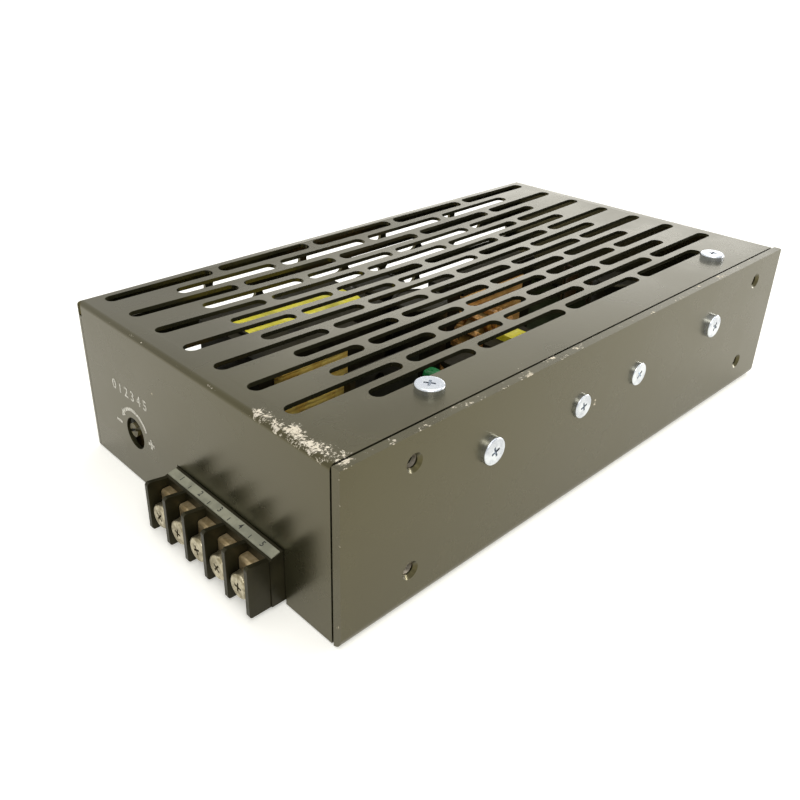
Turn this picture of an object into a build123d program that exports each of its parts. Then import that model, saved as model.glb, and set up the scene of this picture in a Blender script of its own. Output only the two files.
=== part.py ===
from build123d import *
import math
import os

# Enclosed switching power supply with a slotted cover, in millimetres.
# +X runs along the length away from the terminals, the solid side plate faces -Y, +Z is up.
# The origin is the centre of the underside.

# Outer case
LENGTH = 200.0
WIDTH = 115.0
HEIGHT = 48.6
CHASSIS_SHEET = 2.5
COVER_SHEET = 1.2
CHASSIS_BEND = 3.0
COVER_BEND = 1.5
SEAM = 0.6
LAP = 0.15
FOOT_GAP = 0.3
LIP_HEIGHT = 10.0
CORNER_RELIEF = 1.4

# Ventilation slots, the same pattern on the top and on the far wall
SLOT_LENGTH = 35.6
SLOT_WIDTH = 4.5
SLOT_WEB = 2.8
SLOT_MARGIN = 5.0
ROW_PITCH = 7.0
TOP_ROWS = 14
TOP_FIRST_ROW = 18.4
WALL_ROWS = 5
WALL_FIRST_ROW = 6.8
SLOT_SHIFT = 0.8

# Shallow hollow pressed into the top by wear, deepest towards the far side
SAG = 2.0
SAG_EDGE_X = 3.0
SAG_NEAR = 15.6
SAG_FAR = 2.5
SAG_SKEW = 1.67

# Screws: head radius, head height and shank radius of each size
M4_HEAD, M4_HIGH, M4_SHANK = 3.75, 1.6, 1.95
M3_HEAD, M3_HIGH, M3_SHANK = 3.0, 1.8, 1.45
DEVICE_HEAD, DEVICE_HIGH = 3.45, 0.9
CLEARANCE = 0.25
THREAD_GAP = 0.05
RECESS_DEPTH = 0.55
RECESS_ARM = 0.78
RECESS_SLIT = 0.18
HEAD_ROUND = 0.3

# Places along the case, the first from the terminal end and the second from the far end
MOUNT_X = (21.5, LENGTH - 16.1)
BRACKET_SCREW_X = (47.8, LENGTH - 43.8)
COVER_SCREW_X = (37.7, LENGTH - 26.8)
FAR_SCREW_X = (50.0, LENGTH - 50.0)

# Heights on the solid side plate and distances from it
MOUNT_LOW = 10.9
MOUNT_RISE = 30.1
MOUNT_HOLE = 1.65
MOUNT_MOUTH = 2.5
BRACKET_SCREW_Z = HEIGHT - 15.5
COVER_SCREW_Y = 11.6
DEVICE_X = (85.8, 113.6)
DEVICE_Z = 30.6

# Angle brackets under the cover's near edge
BRACKET_SHEET = 2.0
BRACKET_REACH = 12.5
BRACKET_DROP = 20.0
BRACKET_MARGIN = 7.0
COVER_SCREW_PAST, SIDE_SCREW_PAST = 3.0, 2.0

# Circuit board and what carries it
SHEET_THICK = 0.4
STANDOFF = 5.0
STANDOFF_FLATS = 5.5
STANDOFF_SPIGOT = 2.2
BOARD = 1.6
BOARD_MARGIN_X = 3.2
BOARD_MARGIN_Y = 3.4
BOARD_SCREW_INSET = 7.0
BOARD_SCREW_SHIFT = 12.0
SHEET_HOLE = 3.85

# Terminal block: rear base, bays between fins, one clamp screw in each bay
BAYS = 5
BAY_PITCH = 8.8
FIN = 1.3
BLOCK_NEAR = 20.4
BLOCK_END = 0.3
BLOCK_BOTTOM = 1.5
FIN_REACH = 10.1
BASE_REACH = 3.9
SEAT_REACH = 5.7
FIN_TOP = 16.3
BASE_TOP = 15.3
SEAT_TOP = 12.2
BLOCK_BACK = 8.0
PLATE = 0.8
PLATE_FOOT = 3.2
BAY_CLEARANCE = 0.25
TERMINAL_Z = 7.6
TERMINAL_HEAD, TERMINAL_HIGH, TERMINAL_SHANK = 3.4, 2.3, 1.75
TERMINAL_LENGTH = 6.8
TERMINAL_TURNS = (51, 82, 113, 144, 175)
WASHER = 0.8
WASHER_RADIUS = 3.5
RUNNING = 0.08
LABEL_THICK = 0.3
LABEL_WIDTH = 2.4

# Voltage adjuster
ADJUSTER_HOLE = 4.8
ADJUSTER_HOLE_Y = 88.6
ADJUSTER_HOLE_Z = 16.1
ROTOR_Y = 90.4
ROTOR_Z = 16.2
ROTOR_RADIUS = 2.1
ROTOR_FACE = 0.5
ROTOR_LENGTH = 5.5
ROTOR_SLOT = 0.9
TRIMMER_FRONT = 3.0
TRIMMER_DEPTH = 5.0
TRIMMER_SIDE = 9.4

# Levels worked out from the sizes above
BOARD_BOTTOM = CHASSIS_SHEET + STANDOFF
BOARD_TOP = BOARD_BOTTOM + BOARD
COVER_UNDER = HEIGHT - COVER_SHEET
BLOCK_LENGTH = BAYS * BAY_PITCH + FIN


def at(x, y, z=0.0):
    """A place given from the terminal end and the near side."""
    return Location((x - LENGTH / 2, y - WIDTH / 2, z))


def block(x0, x1, y0, y1, z0, z1):
    """A box between six planes, in distances from the terminal end, near side and underside."""
    return at((x0 + x1) / 2, (y0 + y1) / 2, (z0 + z1) / 2) * Box(x1 - x0, y1 - y0, z1 - z0)


def rod(radius, x, y, z0, z1):
    """An upright cylinder."""
    return at(x, y, (z0 + z1) / 2) * Cylinder(radius, z1 - z0)


def rod_y(radius, x, z, y0, y1):
    """A cylinder along Y."""
    return at(x, (y0 + y1) / 2, z) * Rotation(90, 0, 0) * Cylinder(radius, y1 - y0)


def rod_x(radius, y, z, x0, x1):
    """A cylinder along X."""
    return at((x0 + x1) / 2, y, z) * Rotation(0, 90, 0) * Cylinder(radius, x1 - x0)


def pan_screw(head, high, shank, length, recess=RECESS_DEPTH):
    """A cross-recess pan head above Z = 0 with its shank below."""
    dome = fillet((Pos(0, 0, high / 2) * Cylinder(head, high)).edges().group_by(Axis.Z)[-1], high * HEAD_ROUND)
    screw = dome + Pos(0, 0, -length / 2) * Cylinder(shank, length)
    arm = head * RECESS_ARM
    slit = head * RECESS_SLIT
    deep = high * recess
    cross = Box(arm, slit, 2 * deep) + Box(slit, arm, 2 * deep)
    return screw - Pos(0, 0, high) * cross


def flat_screw(head, high, shank, length):
    """A low cross-recess head above Z = 0 with its shank below."""
    return pan_screw(head, high, shank, length, 0.7)


def slot_rows(first, rows, odd_first):
    """Centres of a brick pattern of slots: full rows and rows of one slot less by turns."""
    pitch = SLOT_LENGTH + SLOT_WEB
    most = int((LENGTH - 2 * SLOT_MARGIN + SLOT_WEB) / pitch)
    places = []
    for row in range(rows):
        full = (row % 2 == 0) == odd_first
        count = most if full else most - 1
        for k in range(count):
            along = (k - (count - 1) / 2) * pitch + SLOT_SHIFT
            places.append((along, first + row * ROW_PITCH))
    return places


def sag(x, y):
    """Depth of the hollow in the cover at a place in the model's frame."""
    half = LENGTH / 2 - SAG_EDGE_X
    near = SAG_NEAR - WIDTH / 2
    far = WIDTH / 2 - SAG_FAR
    u = (x + half) / (2 * half)
    v = (y - near) / (far - near)
    return SAG * math.sin(math.pi * u) * math.sin(math.pi * v ** SAG_SKEW)


def hollow_patch():
    """The part of the top sheet that is pressed in."""
    half = LENGTH / 2 - SAG_EDGE_X
    near = SAG_NEAR - WIDTH / 2
    far = WIDTH / 2 - SAG_FAR
    across, along = 16, 24
    grid = []
    for i in range(along + 1):
        x = -half + 2 * half * i / along
        column = []
        for j in range(across + 1):
            y = near + (far - near) * j / across
            column.append(Vector(x, y, HEIGHT - sag(x, y)))
        grid.append(column)
    face = Face.make_surface_from_array_of_points(grid)
    return extrude(face, amount=COVER_SHEET, dir=(0, 0, -1))


def make_cover():
    """Folded sheet: slotted top and far wall with two plain ends."""
    x = LENGTH / 2
    near = CHASSIS_SHEET + SEAM
    outer = block(0, LENGTH, near, WIDTH, FOOT_GAP, HEIGHT)
    # only the three folded edges of the top are rounded
    top_edges = outer.edges().group_by(Axis.Z)[-1]
    bends = [e for e in top_edges if e.center().Y > near - WIDTH / 2 + 1]
    outer = fillet(bends, COVER_BEND)
    inner = block(COVER_SHEET, LENGTH - COVER_SHEET, near - 1, WIDTH - COVER_SHEET, 0, COVER_UNDER)
    inner_top = inner.edges().group_by(Axis.Z)[-1]
    inner_bends = [e for e in inner_top if e.center().Y > near - WIDTH / 2]
    inner = fillet(inner_bends, COVER_BEND - COVER_SHEET)
    cover = outer - inner
    # the ends stop just short of the far wall, with a relief notch at each top corner
    for side in (-1, 1):
        edge = LENGTH / 2 + side * (LENGTH / 2 - COVER_SHEET / 2)
        cover -= block(edge - COVER_SHEET, edge + COVER_SHEET, WIDTH - COVER_SHEET - LAP, WIDTH - COVER_SHEET,
                       0, HEIGHT - COVER_BEND)
        corner = LENGTH / 2 + side * LENGTH / 2
        cover -= rod(CORNER_RELIEF / 2, corner, WIDTH - COVER_SHEET, HEIGHT - 3 * COVER_BEND, HEIGHT + 1)
    # the pressed-in middle of the top
    half = LENGTH / 2 - SAG_EDGE_X
    middle = block(x - half, x + half, SAG_NEAR, WIDTH - SAG_FAR, COVER_UNDER - 1, HEIGHT + 1)
    cover = cover - middle + hollow_patch()
    # slots
    top_slot = extrude(SlotOverall(SLOT_LENGTH, SLOT_WIDTH), 4 * COVER_SHEET + SAG)
    places = slot_rows(TOP_FIRST_ROW - WIDTH / 2, TOP_ROWS, False)
    drop = HEIGHT - 2 * COVER_SHEET - SAG
    cover -= [Pos(px, py, drop) * top_slot for px, py in places]
    wall_slot = Rotation(90, 0, 0) * extrude(SlotOverall(SLOT_LENGTH, SLOT_WIDTH), 4 * COVER_SHEET)
    places = slot_rows(WALL_FIRST_ROW, WALL_ROWS, True)
    cover -= [Pos(px, WIDTH / 2 + COVER_SHEET, HEIGHT - down) * wall_slot for px, down in places]
    # screw holes in the top and low in the far wall
    for sx in COVER_SCREW_X:
        cover -= rod(M4_SHANK + CLEARANCE, sx, COVER_SCREW_Y, COVER_UNDER - 1, HEIGHT + 1)
    for sx in FAR_SCREW_X:
        cover -= rod_y(M3_SHANK + CLEARANCE, sx, far_screw_z(), WIDTH - 3, WIDTH + 1)
    # cut-out for the terminal block, open at the bottom, and the hole for the adjuster
    cut_top = FIN_TOP + 2 * BAY_CLEARANCE
    cover -= block(-1, COVER_SHEET + 1, BLOCK_NEAR - BLOCK_END - BAY_CLEARANCE,
                   BLOCK_NEAR + BLOCK_LENGTH + BLOCK_END + BAY_CLEARANCE, 0, cut_top)
    cover -= rod_x(ADJUSTER_HOLE, ADJUSTER_HOLE_Y, ADJUSTER_HOLE_Z, -1, COVER_SHEET + 1)
    return cover


def far_screw_z():
    """Height of the screws low in the far wall, in the middle of the chassis lip's flat."""
    return (CHASSIS_BEND + LIP_HEIGHT) / 2


def make_chassis():
    """Folded plate: base, solid near side and a low lip along the far edge."""
    inset = COVER_SHEET + LAP
    lip_face = WIDTH - COVER_SHEET - LAP
    outer = block(0, LENGTH, 0, lip_face, 0, HEIGHT)
    outer = fillet(outer.edges().filter_by(Axis.X).group_by(Axis.Z)[0], CHASSIS_BEND)
    inner = block(-1, LENGTH + 1, CHASSIS_SHEET, lip_face - CHASSIS_SHEET, CHASSIS_SHEET, HEIGHT + 1)
    inner = fillet(inner.edges().filter_by(Axis.X).group_by(Axis.Z)[0], CHASSIS_BEND - CHASSIS_SHEET)
    chassis = outer - inner - block(-1, LENGTH + 1, WIDTH / 2, WIDTH, LIP_HEIGHT, HEIGHT + 1)
    # the base and the lip stop short of the cover's ends
    for x0, x1 in ((-1, inset), (LENGTH - inset, LENGTH + 1)):
        chassis -= block(x0, x1, CHASSIS_SHEET, WIDTH, -1, HEIGHT + 1)
    # tapped mounting holes with a countersunk mouth
    for mx, mz in mount_places():
        chassis -= rod_y(MOUNT_HOLE, mx, mz, -1, CHASSIS_SHEET + 1)
        mouth = at(mx, (MOUNT_MOUTH - MOUNT_HOLE) / 2, mz) * Rotation(90, 0, 0) * Cone(
            MOUNT_HOLE, MOUNT_MOUTH, MOUNT_MOUTH - MOUNT_HOLE)
        chassis -= mouth
    for sx in BRACKET_SCREW_X:
        chassis -= rod_y(M4_SHANK + CLEARANCE, sx, BRACKET_SCREW_Z, -1, CHASSIS_SHEET + 1)
    for sx in DEVICE_X:
        chassis -= rod_y(M3_SHANK + CLEARANCE, sx, DEVICE_Z, -1, CHASSIS_SHEET + 1)
    for sx in FAR_SCREW_X:
        chassis -= rod_y(M3_SHANK + THREAD_GAP, sx, far_screw_z(), lip_face - 4, lip_face + 1)
    for sx, sy in standoff_places():
        chassis -= rod(STANDOFF_SPIGOT, sx, sy, -1, CHASSIS_SHEET + 1)
    return chassis


def mount_places():
    """The four mounting holes of the side plate."""
    return [(mx, mz) for mx in MOUNT_X for mz in (MOUNT_LOW, MOUNT_LOW + MOUNT_RISE)]


def make_bracket(side_x, top_x):
    """Angle bracket behind the side plate that takes one cover screw and one side screw."""
    x0 = min(side_x, top_x) - BRACKET_MARGIN
    x1 = max(side_x, top_x) + BRACKET_MARGIN
    y0 = CHASSIS_SHEET
    leg = block(x0, x1, y0, y0 + BRACKET_SHEET, COVER_UNDER - BRACKET_DROP, COVER_UNDER)
    top = block(x0, x1, y0, y0 + BRACKET_REACH, COVER_UNDER - BRACKET_SHEET, COVER_UNDER)
    bracket = leg + top
    fold = bracket.edges().filter_by(Axis.X).sort_by(Axis.Z)[-2:].sort_by(Axis.Y)[0]
    bracket = fillet(fold, BRACKET_SHEET)
    bracket -= rod(M4_SHANK + THREAD_GAP, top_x, COVER_SCREW_Y, COVER_UNDER - 9, COVER_UNDER + 1)
    bracket -= rod_y(M4_SHANK + THREAD_GAP, side_x, BRACKET_SCREW_Z, 0, y0 + BRACKET_SHEET + 1)
    return bracket


def make_cover_screws():
    """Pan-head screws through the top into the brackets."""
    screw = pan_screw(M4_HEAD, M4_HIGH, M4_SHANK, COVER_SHEET + BRACKET_SHEET + COVER_SCREW_PAST)
    return [at(sx, COVER_SCREW_Y, HEIGHT) * Rotation(0, 0, turn) * screw
            for sx, turn in zip(COVER_SCREW_X, (35, 10))]


def make_bracket_screws():
    """Pan-head screws through the side plate into the brackets."""
    length = CHASSIS_SHEET + BRACKET_SHEET + SIDE_SCREW_PAST
    screw = pan_screw(M4_HEAD, M4_HIGH, M4_SHANK, length)
    return [at(sx, 0, BRACKET_SCREW_Z) * Rotation(90, 0, 0) * Rotation(0, 0, turn) * screw
            for sx, turn in zip(BRACKET_SCREW_X, (20, 60))]


def make_device_screws():
    """Low-head screws that clamp the power devices to the side plate."""
    screw = flat_screw(DEVICE_HEAD, DEVICE_HIGH, M3_SHANK, CHASSIS_SHEET + PAD + DEVICE_THICK + NUT_HIGH + 0.5)
    return [at(sx, 0, DEVICE_Z) * Rotation(90, 0, 0) * Rotation(0, 0, turn) * screw
            for sx, turn in zip(DEVICE_X, (15, 40))]


def make_far_screws():
    """Pan-head screws low in the far wall."""
    screw = pan_screw(M3_HEAD, M3_HIGH, M3_SHANK, COVER_SHEET + LAP + CHASSIS_SHEET)
    return [at(sx, WIDTH, far_screw_z()) * Rotation(-90, 0, 0) * screw for sx in FAR_SCREW_X]


# Power devices clamped to the side plate
PAD = 0.3
DEVICE_WIDE = 15.9
DEVICE_TALL = 20.8
DEVICE_THICK = 5.0
DEVICE_ABOVE = 6.3
NUT_HIGH = 2.4
NUT_FLATS = 5.5


def make_device(sx):
    """Moulded power device with three legs down to the board."""
    y0 = CHASSIS_SHEET + PAD
    top = DEVICE_Z + DEVICE_ABOVE
    low = top - DEVICE_TALL
    body = block(sx - DEVICE_WIDE / 2, sx + DEVICE_WIDE / 2, y0, y0 + DEVICE_THICK, low, top)
    body = chamfer(body.edges().filter_by(Axis.Z), 0.6)
    body -= rod_y(M3_SHANK + CLEARANCE, sx, DEVICE_Z, y0 - 1, y0 + DEVICE_THICK + 1)
    for k in (-1, 0, 1):
        leg_x = sx + 5.45 * k
        body += block(leg_x - 0.6, leg_x + 0.6, y0 + 2.2, y0 + 2.8, BOARD_TOP, low)
    return body


def make_insulators():
    """Thin pads between the devices and the side plate."""
    y0 = CHASSIS_SHEET
    top = DEVICE_Z + DEVICE_ABOVE + 1
    pads = []
    for sx in DEVICE_X:
        half = DEVICE_WIDE / 2 + 1
        pad = block(sx - half, sx + half, y0, y0 + PAD, top - DEVICE_TALL - 2, top)
        pads.append(pad - rod_y(M3_SHANK + CLEARANCE, sx, DEVICE_Z, y0 - 1, y0 + PAD + 1))
    return pads


def make_device_nuts():
    """Hexagon nuts behind the devices."""
    y0 = CHASSIS_SHEET + PAD + DEVICE_THICK
    nut = extrude(RegularPolygon(NUT_FLATS / 2, 6, major_radius=False), NUT_HIGH)
    nut -= Cylinder(M3_SHANK + THREAD_GAP, 3 * NUT_HIGH)
    return [at(sx, y0, DEVICE_Z) * Rotation(-90, 0, 0) * nut for sx in DEVICE_X]


def standoff_places():
    """Six board fixings, clear of the parts on the board."""
    x0 = BOARD_MARGIN_X + BOARD_SCREW_INSET
    x1 = LENGTH - x0
    y0 = BOARD_MARGIN_Y + BOARD_SCREW_INSET
    y1 = WIDTH - y0 - COVER_SHEET
    shift = BOARD_SCREW_SHIFT
    return [(x0, y0), (LENGTH / 2, y0 + shift), (x1, y0), (x0 + shift, y1), (LENGTH / 2, y1), (x1, y1)]


def make_sheet():
    """Insulating sheet on the base, with a hole round each standoff."""
    y1 = WIDTH - COVER_SHEET - LAP - CHASSIS_SHEET - 2
    sheet = block(BOARD_MARGIN_X, LENGTH - BOARD_MARGIN_X, CHASSIS_SHEET + 2, y1,
                  CHASSIS_SHEET, CHASSIS_SHEET + SHEET_THICK)
    for sx, sy in standoff_places():
        sheet -= rod(SHEET_HOLE, sx, sy, 0, CHASSIS_SHEET + 2 * SHEET_THICK)
    return sheet


def make_standoffs():
    """Hexagonal pillars pressed into the base."""
    pillar = extrude(RegularPolygon(STANDOFF_FLATS / 2, 6, major_radius=False), STANDOFF)
    spigot = CHASSIS_SHEET - 0.1
    pillar += Pos(0, 0, -spigot / 2) * Cylinder(STANDOFF_SPIGOT - 0.02, spigot)
    pillar -= Cylinder(M3_SHANK + THREAD_GAP, 4 * STANDOFF)
    return [at(sx, sy, CHASSIS_SHEET) * pillar for sx, sy in standoff_places()]


def make_board():
    """Circuit board with its screw holes."""
    board = block(BOARD_MARGIN_X, LENGTH - BOARD_MARGIN_X, BOARD_MARGIN_Y, WIDTH - BOARD_MARGIN_Y - COVER_SHEET,
                  BOARD_BOTTOM, BOARD_TOP)
    for sx, sy in standoff_places():
        board -= rod(M3_SHANK + CLEARANCE, sx, sy, 0, BOARD_TOP + 1)
    return board


def make_board_screws():
    """Pan-head screws that hold the board on its standoffs."""
    screw = pan_screw(M3_HEAD, M3_HIGH, M3_SHANK, BOARD + STANDOFF * 0.8)
    return [at(sx, sy, BOARD_TOP) * screw for sx, sy in standoff_places()]


def bay_centre(bay):
    """Distance of a bay's middle from the near side, bay 1 farthest from it."""
    return BLOCK_NEAR + FIN / 2 + (BAYS - bay + 0.5) * BAY_PITCH


def side_profile(points):
    """A face in the XZ plane through the given points, at Y = 0."""
    return make_face(Polyline([(x, 0, z) for x, z in points], close=True))


def along_y(face, x0, y0, y1):
    """Carry an XZ face from one distance to another from the near side."""
    solid = extrude(face, y1 - y0, dir=(0, 1, 0))
    return at(x0, y0) * solid


def make_terminal_block():
    """Moulded barrier block: base, seats for the clamp plates and the fins between them."""
    step = COVER_SHEET - 0.2
    base = side_profile([(-SEAT_REACH, BLOCK_BOTTOM), (-SEAT_REACH, SEAT_TOP), (-BASE_REACH, SEAT_TOP),
                         (-BASE_REACH, BASE_TOP), (0, FIN_TOP), (BLOCK_BACK, FIN_TOP),
                         (BLOCK_BACK, BOARD_TOP), (step, BOARD_TOP), (step, BLOCK_BOTTOM)])
    y0 = BLOCK_NEAR
    y1 = BLOCK_NEAR + BLOCK_LENGTH
    body = along_y(base, 0, y0 + 0.01, y1 - 0.01)
    wider = side_profile([(-BASE_REACH, BLOCK_BOTTOM), (-BASE_REACH, BASE_TOP), (0, FIN_TOP),
                          (BLOCK_BACK, FIN_TOP), (BLOCK_BACK, BOARD_TOP), (step, BOARD_TOP),
                          (step, BLOCK_BOTTOM)])
    body += along_y(wider, 0, y0 - BLOCK_END, y1 + BLOCK_END)
    fin = side_profile([(-FIN_REACH, BLOCK_BOTTOM), (-FIN_REACH, FIN_TOP), (-BASE_REACH + 0.5, BASE_TOP),
                        (-BASE_REACH + 0.5, BLOCK_BOTTOM)])
    for k in range(BAYS + 1):
        y = y0 + k * BAY_PITCH
        blade = along_y(fin, 0, y, y + FIN)
        front = blade.edges().filter_by(Axis.Y).group_by(Axis.X)[0]
        body += fillet(front, 0.9)
    for bay in range(1, BAYS + 1):
        body -= rod_x(TERMINAL_SHANK + RUNNING, bay_centre(bay), TERMINAL_Z, -SEAT_REACH - 1, 0.4)
    return body


def make_terminal_plates():
    """Clamp plates: a shelf on the seat that folds down over its front."""
    front = -SEAT_REACH - PLATE
    fold = side_profile([(front, PLATE_FOOT), (front, SEAT_TOP + PLATE), (-BASE_REACH, SEAT_TOP + PLATE),
                         (-BASE_REACH, SEAT_TOP), (-SEAT_REACH, SEAT_TOP), (-SEAT_REACH, PLATE_FOOT)])
    half = (BAY_PITCH - FIN) / 2 - BAY_CLEARANCE
    plates = []
    for bay in range(1, BAYS + 1):
        y = bay_centre(bay)
        plate = along_y(fold, 0, y - half, y + half)
        bend = plate.edges().filter_by(Axis.Y).group_by(Axis.X)[0].sort_by(Axis.Z)[-1]
        plate = fillet(bend, PLATE)
        plate -= rod_x(TERMINAL_SHANK + RUNNING, y, TERMINAL_Z, front - 1, 0)
        plates.append(plate)
    return plates


def make_terminal_washer(bay):
    """Captive washer under a clamp screw's head."""
    face = -SEAT_REACH - PLATE
    ring = rod_x(WASHER_RADIUS, bay_centre(bay), TERMINAL_Z, face - WASHER, face)
    return ring - rod_x(TERMINAL_SHANK + RUNNING, bay_centre(bay), TERMINAL_Z, face - WASHER - 1, face + 1)


def make_terminal_screw(bay, turn):
    """Clamp screw of one bay."""
    screw = pan_screw(TERMINAL_HEAD, TERMINAL_HIGH, TERMINAL_SHANK, TERMINAL_LENGTH)
    seat = -SEAT_REACH - PLATE - WASHER
    return at(seat, bay_centre(bay), TERMINAL_Z) * Rotation(0, -90, 0) * Rotation(0, 0, turn) * screw


def make_label_strip():
    """Marking strip on the sloping top of the terminal block."""
    rise = (FIN_TOP - BASE_TOP) / BASE_REACH
    x0 = -BASE_REACH + 0.7
    x1 = x0 + LABEL_WIDTH
    z0 = BASE_TOP + 0.7 * rise
    z1 = z0 + LABEL_WIDTH * rise
    strip = side_profile([(x0, z0), (x0, z0 + LABEL_THICK), (x1, z1 + LABEL_THICK), (x1, z1)])
    return along_y(strip, 0, BLOCK_NEAR, BLOCK_NEAR + BLOCK_LENGTH)


def make_trimmer_body():
    """Upright trimmer standing on the board behind the hole in the end."""
    half = TRIMMER_SIDE / 2
    body = block(TRIMMER_FRONT, TRIMMER_FRONT + TRIMMER_DEPTH, ROTOR_Y - half, ROTOR_Y + half,
                 BOARD_TOP, ROTOR_Z + half)
    body = chamfer(body.edges().filter_by(Axis.X).group_by(Axis.Z)[-1], 0.8)
    return body - rod_x(ROTOR_RADIUS + RUNNING, ROTOR_Y, ROTOR_Z, 0, ROTOR_FACE + ROTOR_LENGTH + RUNNING)


def make_trimmer_rotor():
    """Slotted shaft of the trimmer."""
    rotor = rod_x(ROTOR_RADIUS, ROTOR_Y, ROTOR_Z, ROTOR_FACE, ROTOR_FACE + ROTOR_LENGTH)
    slot = block(ROTOR_FACE - 1, ROTOR_FACE + 1.2, ROTOR_Y - 5, ROTOR_Y + 5,
                 ROTOR_Z - ROTOR_SLOT / 2, ROTOR_Z + ROTOR_SLOT / 2)
    turn = at(0, ROTOR_Y, ROTOR_Z) * Rotation(-25, 0, 0) * at(0, ROTOR_Y, ROTOR_Z).inverse()
    return rotor - turn * slot


def standing_core(x0, x1, y0, y1, top, leg, yoke, post):
    """Two E-shaped ferrite halves, upright, with their windows along Y."""
    middle = (BOARD_TOP + top) / 2
    core = block(x0, x1, y0, y1, BOARD_TOP, top)
    centre = (x0 + x1) / 2
    for a, b in ((x0 + leg, centre - post / 2), (centre + post / 2, x1 - leg)):
        core -= block(a, b, y0 - 1, y1 + 1, BOARD_TOP + yoke, top - yoke)
    lower = core & block(x0 - 1, x1 + 1, y0 - 1, y1 + 1, 0, middle)
    upper = core & block(x0 - 1, x1 + 1, y0 - 1, y1 + 1, middle, HEIGHT)
    return [lower, upper]


def upright_coil(x0, x1, y0, y1, z0, z1, hole_x, hole_y, round_by):
    """A taped winding round an upright post."""
    coil = block(x0, x1, y0, y1, z0, z1)
    coil = fillet(coil.edges().filter_by(Axis.Z), round_by)
    cx, cy = (x0 + x1) / 2, (y0 + y1) / 2
    return coil - block(cx - hole_x / 2, cx + hole_x / 2, cy - hole_y / 2, cy + hole_y / 2, z0 - 1, z1 + 1)


def upright_bobbin(coil, post_x, post_y, cy, z0, z1, flange):
    """Tube and two flanges that carry an upright winding; coil gives the flange outline."""
    x0, x1, y0, y1 = coil
    cx = (x0 + x1) / 2
    wall = 0.8
    bobbin = block(x0, x1, y0, y1, z0, z0 + flange) + block(x0, x1, y0, y1, z1 - flange, z1)
    bobbin += block(cx - post_x / 2 - wall, cx + post_x / 2 + wall,
                    cy - post_y / 2 - wall, cy + post_y / 2 + wall, z0, z1)
    return bobbin - block(cx - post_x / 2, cx + post_x / 2, cy - post_y / 2, cy + post_y / 2, z0 - 1, z1 + 1)


# Upright wound parts: outer X range, core Y range, top height, leg, yoke and post widths
WOUND = {
    "main_transformer": dict(x=(103.0, 149.0), y=(65.2, 74.0), top=40.2, leg=6.6, yoke=3.6, post=9.0, bulge=1.2),
    "line_choke": dict(x=(22.0, 58.0), y=(58.5, 68.0), top=43.0, leg=5.2, yoke=4.5, post=7.0, bulge=1.5),
}
WOUND_GAP = 0.25
FLANGE = 0.9


def make_wound(name):
    """Core halves, bobbin and coil of an upright wound part."""
    d = WOUND[name]
    x0, x1 = d["x"]
    y0, y1 = d["y"]
    core = standing_core(x0, x1, y0, y1, d["top"], d["leg"], d["yoke"], d["post"])
    inside = (x0 + d["leg"] + WOUND_GAP, x1 - d["leg"] - WOUND_GAP, y0 - d["bulge"], y1 + min(d["bulge"], 0.7))
    cy = (y0 + y1) / 2
    post_x = d["post"] + 2 * WOUND_GAP
    post_y = y1 - y0 + 2 * WOUND_GAP
    low = BOARD_TOP + d["yoke"] + WOUND_GAP
    high = d["top"] - d["yoke"] - WOUND_GAP
    bobbin = upright_bobbin(inside, post_x, post_y, cy, low, high, FLANGE)
    coil = block(inside[0], inside[1], inside[2] - 0.6, inside[3], low + FLANGE, high - FLANGE)
    coil = fillet(coil.edges().filter_by(Axis.Z), 1.6)
    cx = (x0 + x1) / 2
    wall = 0.8
    coil -= block(cx - post_x / 2 - wall, cx + post_x / 2 + wall,
                  cy - post_y / 2 - wall, cy + post_y / 2 + wall, low, high)
    return core, bobbin, coil


# Lying output choke with a broad yellow-taped coil along X
CHOKE_X = (28.5, 79.5)
CHOKE_Y = (69.6, 97.2)
CHOKE_Z = (14.0, 40.0)
CHOKE_END = 3.4
CHOKE_LEG = 5.2
CHOKE_POST_Y = 6.6
CHOKE_POST_Z = 13.0
CHOKE_COIL_TOP = 41.0


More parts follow.
